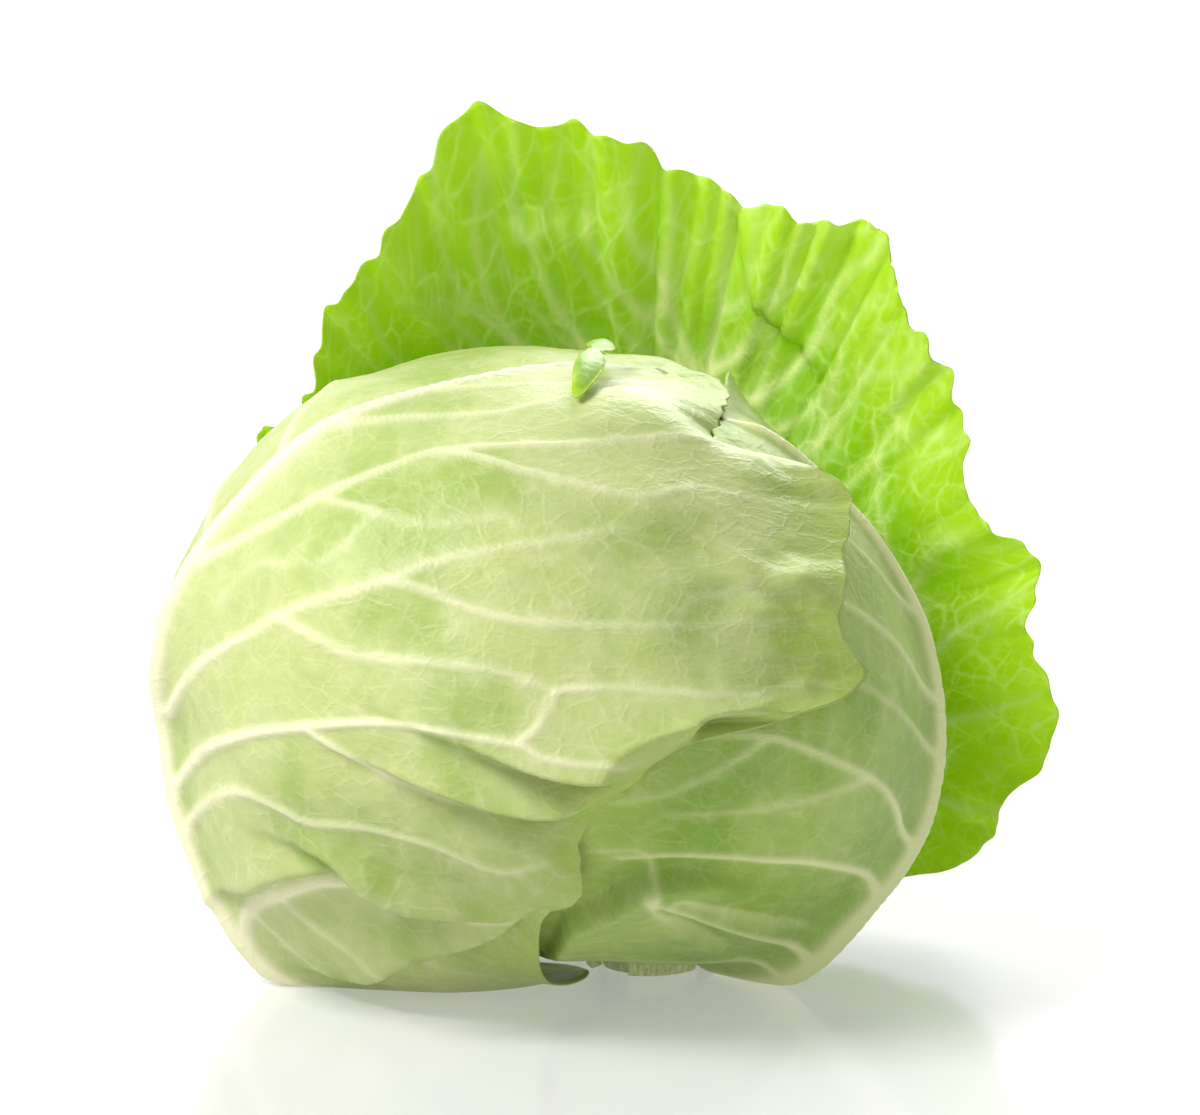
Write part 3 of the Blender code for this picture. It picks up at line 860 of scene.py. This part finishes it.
# %% The loose leaf
LOOSE_RIBS = [
    ([(0, -110), (-5, -60), (-12, 0), (-22, 50), (-30, 78), (-33, 86), (-38, 104)], 6.5, 0.9),
    ([(-20, 40), (8, 62), (30, 84), (44, 100), (55, 110), (60, 128)], 1.6, 0.7),
    ([(-18, 30), (14, 58), (38, 88), (50, 115), (49, 128)], 1.5, 0.7),
    ([(-20, 42), (6, 66), (26, 92), (37, 114), (43, 124), (39, 134)], 1.5, 0.6),
    ([(-21, 46), (2, 70), (20, 92), (32, 112), (39, 122), (35, 134)], 1.4, 0.6),
    ([(-22, 50), (0, 74), (15, 95), (21, 104), (26, 112), (27, 121), (24, 134)], 1.8, 0.8),
    ([(17, 99), (26, 108), (34, 119), (30, 131)], 0.9, 0.6),
    ([(-23, 54), (-4, 76), (12, 92), (18, 105), (19, 118), (13, 128)], 1.8, 0.9),
    ([(-24, 58), (-8, 80), (4, 94), (12, 107), (15, 115), (12, 126)], 1.3, 0.6),
    ([(-25, 60), (-10, 80), (-1, 91), (4, 104), (6, 113), (9, 117), (4, 131)], 2.0, 0.8),
    ([(6, 113), (0, 117), (-4, 125)], 0.9, 0.6),
    ([(-26, 64), (-16, 84), (-8, 97), (-4, 106), (0, 115)], 1.2, 0.6),
    ([(-27, 68), (-20, 86), (-13, 99), (-7, 110), (-9, 116), (-12, 122)], 1.8, 0.7),
    ([(-7, 111), (-14, 114), (-17, 116)], 0.7, 0.5),
    ([(-23, 94), (-18, 105), (-17, 111), (-22, 120)], 1.3, 0.6),
    ([(-28, 72), (-23, 90), (-24, 101), (-26, 107), (-24, 112)], 1.8, 0.7),
    ([(-24, 95), (-29, 98), (-35, 104)], 0.9, 0.6),
    ([(-33, 86), (-40, 88), (-43, 96), (-44, 104)], 1.2, 0.6),
    ([(-30, 76), (-40, 80), (-46, 87), (-51, 93), (-55, 99)], 1.8, 0.7),
    ([(-47, 87), (-57, 90), (-62, 94)], 1.0, 0.6),
    ([(-57, 90), (-55, 97)], 0.8, 0.5),
    ([(-28, 68), (-44, 70), (-55, 76), (-60, 85), (-71, 89)], 1.9, 0.8),
    ([(-27, 62), (-46, 62), (-60, 68), (-65, 79), (-73, 83)], 1.6, 0.7),
    ([(-26, 56), (-46, 54), (-62, 62), (-72, 73), (-75, 77)], 1.8, 0.8),
    ([(-68, 70), (-80, 70), (-90, 70)], 0.9, 0.6),
    ([(-24, 46), (-48, 42), (-66, 48), (-77, 57), (-80, 66), (-82, 76)], 1.7, 0.7),
    ([(-78, 60), (-88, 56), (-97, 55)], 1.0, 0.6),
    ([(-80, 66), (-90, 67)], 0.9, 0.6),
    ([(-5, -60), (-34, -38), (-54, -10), (-58, 18), (-50, 40), (-42, 56), (-43, 72), (-46, 84)], 2.0, 0.8),
    ([(-4, -72), (-34, -60), (-60, -38), (-72, -8), (-72, 22), (-62, 44), (-58, 58), (-62, 68)], 2.2, 0.8),
    ([(-2, -90), (-30, -84), (-62, -66), (-82, -34), (-86, 0), (-83, 28), (-76, 46), (-76, 58)], 2.4, 0.8),
    ([(-84, 20), (-94, 30), (-105, 34)], 1.2, 0.6),
    ([(-86, 0), (-97, 8), (-112, 14)], 1.3, 0.6),
    ([(-85, -18), (-98, -16), (-114, -12)], 1.3, 0.6),
    ([(-80, -38), (-94, -42), (-112, -40)], 1.3, 0.6),
    ([(-60, -68), (-78, -74), (-92, -70)], 1.3, 0.6),
    ([(-16, 16), (16, 34), (48, 58), (78, 84), (96, 104)], 2.0, 0.7),
    ([(-12, -4), (22, 10), (58, 28), (96, 46), (116, 54)], 2.0, 0.7),
    ([(-9, -26), (26, -18), (62, -6), (100, 6), (120, 8)], 2.0, 0.7),
    ([(-6, -50), (28, -48), (64, -42), (104, -34)], 1.8, 0.7),
    ([(-3, -76), (28, -78), (64, -78), (86, -74)], 1.6, 0.7),
]
LOOSE_PLEATS = [
    ([(-35, 106), (-39, 98), (-42, 89), (-44, 86), (-50, 78), (-57, 70)], 2.6, 6.0, 5.0),
    ([(-12, 110), (-4, 112), (3, 115), (13, 117)], 2.0, 5.0, 5.0),
]
loose_leaf = leaf(
    "loose_outer_leaf", 216, 1, "loose_leaf", LOOSE_RIBS, 6.5, 8, LOOSE_OUTLINE, 10.5,
    (165, -5), 1.0, hug=2.6, vein_height=0.45, bumps=[(9, 1.8), (4, 0.8)], pleats=LOOSE_PLEATS, slim=0.7,
    softness=0.75, waves_round=[(17, 0, 4, 6), (11, 60, 3, 6)], ruffles=[(13, 45, 2.6, 5), (30, 110, 2.2, 9)],
    frill=[(9, 40, 2.2), (40, 160, 1.6)], crowding=0.4, fold_in=1.0, groove=2.6)
paint(loose_leaf, bright)

# %% [markdown]
# ## The crown
# Under the wrappers the next two leaves close over the heart, and a torn strip of leaf lies
# across them. The heart and these leaves are the same plant, only paler, because light has never
# reached them.

# %% The crown's leaves and the strip
inner_front = leaf(
    "inner_front_leaf", 80, 2, "inner_leaf_front",
    [([(0, -68), (4, -20), (2, 30), (0, 62)], 2.5, 0.8), ([(3, -10), (-30, 14), (-60, 20)], 1.2, 0.6),
     ([(2, 10), (30, 30), (52, 36)], 1.2, 0.6)],
    9.0, 11, INNER_FRONT_OUTLINE, 1.6, (40, 55), 0.7, vein_height=0.5, bumps=[(10, 0.3)])
inner_back = leaf(
    "inner_back_leaf", 80, 2, "inner_leaf_back",
    [([(0, -72), (-4, -20), (-2, 30), (0, 66)], 2.5, 0.8), ([(-3, -10), (-30, 14), (-60, 20)], 1.2, 0.6),
     ([(-2, 10), (30, 30), (54, 36)], 1.2, 0.6)],
    9.0, 12, INNER_BACK_OUTLINE, 0.5, (150, 62), 0.7, vein_height=0.4, bumps=[(10, 0.2)])
strip = leaf(
    "torn_strip", 48, 1, "torn_leaf_strip", [([(-18, 8), (0, 0), (16, -8)], 0.8, 0.5)], 5.0,
    13, STRIP_OUTLINE, 12.0, (-32, 74), 0.7, vein_height=0.5, bumps=[(4, 0.8)])
paint(inner_front, pale)
paint(inner_back, pale)
paint(strip, bright)
print("three more sheets:", inner_front.name, inner_back.name, strip.name)

# %% [markdown]
# ## Heart, stalk and leaf feet
# These solids have the right shape already, so they only get finishes. The stalk was cut with a
# knife: its face is moist and pale, with the ends of the plant's vessels as a ring of dots. The
# feet of the leaves cut with it are fibrous along their length.

# %% Heart, stalk and stub finishes
def heart_finish():
    """Pale leaf edges packed round the heart."""
    f = Finish("heart_leaf")
    folds = f.noise(16, 4.0).between(0.35, 0.65)
    colour = f.blend(folds, (0.52, 0.64, 0.22), (0.68, 0.74, 0.40))
    lines = f.node("TexWave", {"wave_type": "BANDS", "bands_direction": "Z"}, {
        "Vector": f.node("TexCoord", {}, {}, 3), "Scale": 14.0, "Distortion": 7.0, "Detail": 3.0})
    colour = f.blend(lines * 0.35, colour, (0.80, 0.84, 0.56))
    normal = f.bump(lines + f.noise(3, 2.0), 0.8, 0.5)
    return f.end(f.node("BsdfPrincipled", {}, {"Base Color": colour, "Roughness": folds * 0.1 + 0.4,
                                               "Normal": normal}))


def stalk_finish():
    """Fibres up the stalk, and the dots of its vessels on the cut."""
    f = Finish("cut_stalk")
    place = f.node("TexCoord", {}, {}, 3)
    fibres = f.node("TexNoise", {}, {"Vector": f.node("VectorMath", {"operation": "MULTIPLY"}, {
        0: place, 1: (900.0, 900.0, 90.0)}), "Scale": 1.0, "Detail": 3.0})
    vessels = f.node("TexVoronoi", {}, {"Vector": place, "Scale": 700.0}).between(0.15, 0.4)
    colour = f.blend(fibres.between(0.35, 0.7), (0.50, 0.62, 0.20), (0.78, 0.80, 0.52))
    colour = f.blend((1 - vessels) * 0.5, colour, (0.42, 0.47, 0.16))
    colour = f.blend(f.noise(6, 3.0).between(0.5, 0.8) * 0.4, colour, (0.48, 0.38, 0.16))
    normal = f.bump(fibres + vessels * 0.4, 0.5, 0.6)
    return f.end(f.node("BsdfPrincipled", {}, {"Base Color": colour, "Roughness": fibres * 0.2 + 0.4,
                                               "Normal": normal}))


heart_material, stalk_material = heart_finish(), stalk_finish()
for node in ("heart", "stalk", "leaf_stub_front", "leaf_stub_left", "leaf_stub_back"):
    for material_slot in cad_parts[node].material_slots:
        material_slot.material = heart_material if node == "heart" else stalk_material
print("finished in place: heart, stalk and three leaf feet")

# %% [markdown]
# ## Floor and light
# The floor is a plain white sheet with a faint polish, so the head stands on its own soft
# reflection. A large soft light stands high on the left, another low in front, and one behind on
# the right shines through the loose leaf. The sky is white where the camera or a reflection sees
# it, and dimmer where it lights the leaves, which keeps their shading.

# %% Floor, lights and sky
bpy.ops.mesh.primitive_plane_add(size=12)
floor = bpy.context.object
floor.name = "floor"
floor_finish = Finish("white_sheet")
sheen = floor_finish.noise(300, 1.0) * 0.04 + 0.12
paint(floor, floor_finish.end(floor_finish.node("BsdfPrincipled", {}, {
    "Base Color": (0.52, 0.52, 0.52, 1), "Roughness": sheen, "Specular IOR Level": 0.5,
    "Emission Color": (1.0, 1.0, 1.0, 1), "Emission Strength": 0.30})))


def soft_light(name, place, size, watts):
    """A square soft light that faces the head."""
    data = bpy.data.lights.new(name, "AREA")
    data.shape, data.size, data.energy = "SQUARE", size, watts
    lamp = bpy.data.objects.new(name, data)
    lamp.location = place
    towards = np.array([0.0, 0.0, 0.1]) - np.array(place)
    around = math.atan2(towards[1], towards[0]) - math.pi / 2
    above = math.atan2(towards[2], math.hypot(towards[0], towards[1]))
    lamp.rotation_euler = (math.pi / 2 + above, 0, around)
    bpy.context.scene.collection.objects.link(lamp)
    return lamp


soft_light("key", (-0.85, -0.45, 1.05), 0.55, 21)
soft_light("fill", (0.5, -1.4, 0.5), 0.9, 3)
soft_light("back", (0.35, 1.1, 0.9), 0.8, 22)

world = bpy.data.worlds.new("sky")
bpy.context.scene.world = world
world.use_nodes = True
nodes, join = world.node_tree.nodes, world.node_tree.links.new
dim, white = nodes["Background"], nodes.new("ShaderNodeBackground")
for sky, strength in ((dim, 0.34), (white, 1.1)):
    sky.inputs["Color"].default_value = (1, 1, 1, 1)
    sky.inputs["Strength"].default_value = strength
rays, seen, either = [nodes.new("ShaderNode" + kind) for kind in ("LightPath", "Math", "MixShader")]
seen.operation = "MAXIMUM"
join(rays.outputs["Is Camera Ray"], seen.inputs[0])
join(rays.outputs["Is Glossy Ray"], seen.inputs[1])
join(seen.outputs[0], either.inputs[0])
join(dim.outputs[0], either.inputs[1])
join(white.outputs[0], either.inputs[2])
join(either.outputs[0], nodes["World Output"].inputs["Surface"])
bpy.context.scene.view_settings.view_transform = "Standard"
